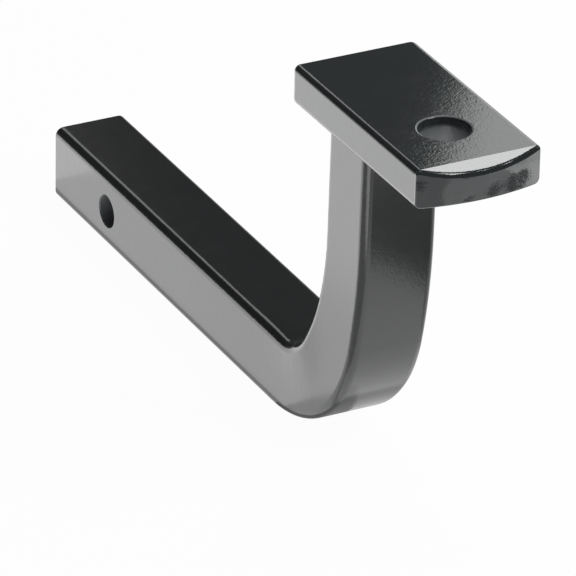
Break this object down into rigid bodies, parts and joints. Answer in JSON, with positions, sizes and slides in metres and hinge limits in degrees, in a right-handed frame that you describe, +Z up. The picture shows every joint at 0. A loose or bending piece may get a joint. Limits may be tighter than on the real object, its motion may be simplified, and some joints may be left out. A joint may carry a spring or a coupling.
{
  "type": "ball mount",
  "caption": "Solid square shank that bends up into a riser, with a flat welded plate on top, bored for a hitch ball; a cross hole near the end takes the hitch pin.",
  "frame": {"origin": "centre of the pin hole, on the axis of the shank", "axes": "+X along the shank towards the ball plate, +Y across the bar along the pin hole, +Z up"},
  "size_m": [0.3305, 0.0518, 0.1624],
  "materials": {
    "bar_coating": "gloss black powder coat on steel bar",
    "plate_coating": "gloss black powder coat with a fine orange peel, on steel plate",
    "weld_coating": "gloss black powder coat over a rippled weld"
  },
  "bodies": {
    "root": {"bent_bar": "bar_coating", "ball_plate": "plate_coating", "weld_bead": "weld_coating"}
  },
  "joints": []
}
